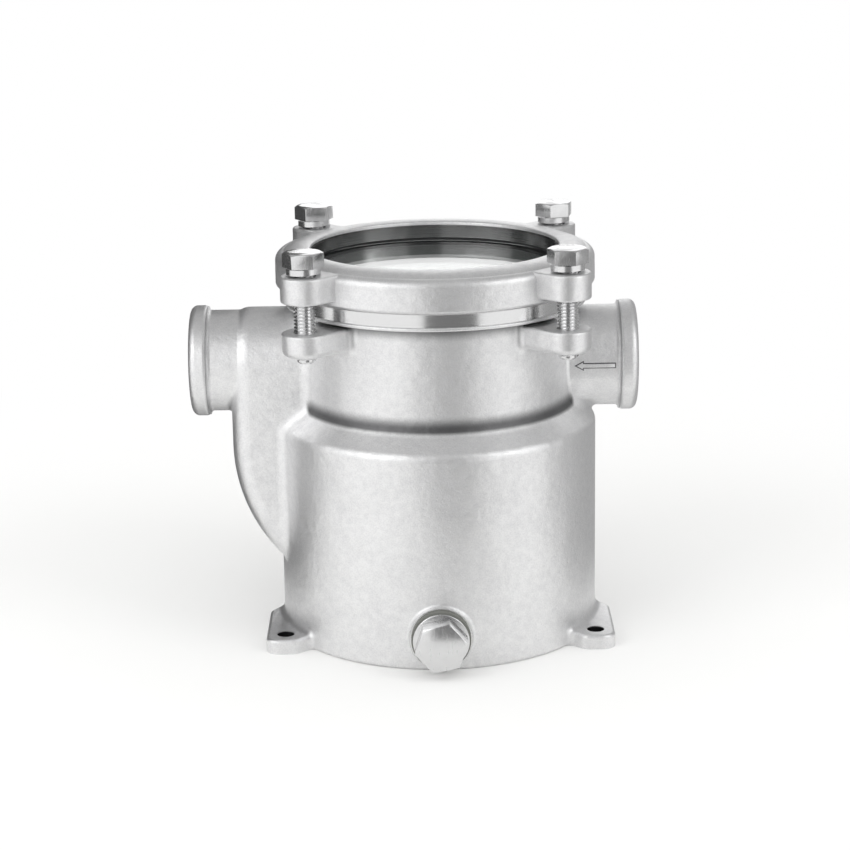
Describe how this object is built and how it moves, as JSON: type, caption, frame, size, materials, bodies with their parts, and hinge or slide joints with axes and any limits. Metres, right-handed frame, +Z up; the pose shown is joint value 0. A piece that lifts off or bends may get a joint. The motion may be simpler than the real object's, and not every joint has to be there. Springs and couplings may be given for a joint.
{
  "type": "sea water strainer",
  "caption": "Cast stainless sea water strainer with threaded ports, bolted sight glass cover, lift-out basket, drain plug and mounting feet.",
  "frame": {"origin": "centre of the flat base, on the surface that the strainer stands on", "axes": "+Z up along the drum's axis, +X towards the inlet port, -Y towards the drain plug"},
  "size_m": [0.167, 0.1466, 0.1537],
  "materials": {
    "cast_stainless": "blasted investment casting",
    "clear_glass": "polished",
    "black_rubber": "moulded",
    "bright_stainless": "turned and polished",
    "seal_fibre": "matte",
    "pierced_stainless": "rolled sheet"
  },
  "bodies": {
    "strainer": {"body_casting": "cast_stainless", "cover_ring": "cast_stainless", "sight_glass": "clear_glass", "glass_gasket": "black_rubber", "seal_ring": "black_rubber", "basket_sleeve": "pierced_stainless", "basket_floor": "pierced_stainless", "basket_rim": "pierced_stainless", "basket_ear_left": "pierced_stainless", "basket_ear_right": "pierced_stainless"},
    "washer_1": {"spring_washer_1": "bright_stainless"},
    "bolt_1": {"lid_bolt_1": "bright_stainless"},
    "washer_2": {"spring_washer_2": "bright_stainless"},
    "bolt_2": {"lid_bolt_2": "bright_stainless"},
    "washer_3": {"spring_washer_3": "bright_stainless"},
    "bolt_3": {"lid_bolt_3": "bright_stainless"},
    "washer_4": {"spring_washer_4": "bright_stainless"},
    "bolt_4": {"lid_bolt_4": "bright_stainless"},
    "plug_seal": {"drain_seal": "seal_fibre"},
    "plug": {"drain_plug": "bright_stainless"},
    "bail": {"basket_bail": "bright_stainless"}
  },
  "joints": [
    {"name": "washer_1_lift", "type": "slide", "parent": "strainer", "child": "washer_1", "axis": [0, 0, 1], "range_m": [0, 0.01125]},
    {"name": "bolt_1_turn", "type": "hinge", "parent": "washer_1", "child": "bolt_1", "pos_m": [-0.04688, -0.04688, 0.1484], "axis": [0, 0, 1], "range_deg": [0, 3240]},
    {"name": "washer_2_lift", "type": "slide", "parent": "strainer", "child": "washer_2", "axis": [0, 0, 1], "range_m": [0, 0.01125]},
    {"name": "bolt_2_turn", "type": "hinge", "parent": "washer_2", "child": "bolt_2", "pos_m": [0.04688, -0.04688, 0.1484], "axis": [0, 0, 1], "range_deg": [0, 3240]},
    {"name": "washer_3_lift", "type": "slide", "parent": "strainer", "child": "washer_3", "axis": [0, 0, 1], "range_m": [0, 0.01125]},
    {"name": "bolt_3_turn", "type": "hinge", "parent": "washer_3", "child": "bolt_3", "pos_m": [0.04688, 0.04688, 0.1484], "axis": [0, 0, 1], "range_deg": [0, 3240]},
    {"name": "washer_4_lift", "type": "slide", "parent": "strainer", "child": "washer_4", "axis": [0, 0, 1], "range_m": [0, 0.01125]},
    {"name": "bolt_4_turn", "type": "hinge", "parent": "washer_4", "child": "bolt_4", "pos_m": [-0.04688, 0.04688, 0.1484], "axis": [0, 0, 1], "range_deg": [0, 3240]},
    {"name": "plug_seal_slide", "type": "slide", "parent": "strainer", "child": "plug_seal", "axis": [0, -1, 0], "range_m": [0, 0.00802]},
    {"name": "plug_turn", "type": "hinge", "parent": "plug_seal", "child": "plug", "pos_m": [0, -0.0631, 0.0128], "axis": [0, -1, 0], "range_deg": [0, 2160]},
    {"name": "bail_swing", "type": "hinge", "parent": "strainer", "child": "bail", "pos_m": [0, 0, 0.088], "axis": [1, 0, 0], "range_deg": [0, 180]}
  ],
  "couplings": [
    {"joint": "bolt_1_turn", "follows": "washer_1_lift", "rad_per_m": 5026.5},
    {"joint": "bolt_2_turn", "follows": "washer_2_lift", "rad_per_m": 5026.5},
    {"joint": "bolt_3_turn", "follows": "washer_3_lift", "rad_per_m": 5026.5},
    {"joint": "bolt_4_turn", "follows": "washer_4_lift", "rad_per_m": 5026.5},
    {"joint": "plug_turn", "follows": "plug_seal_slide", "rad_per_m": 4699.5}
  ]
}
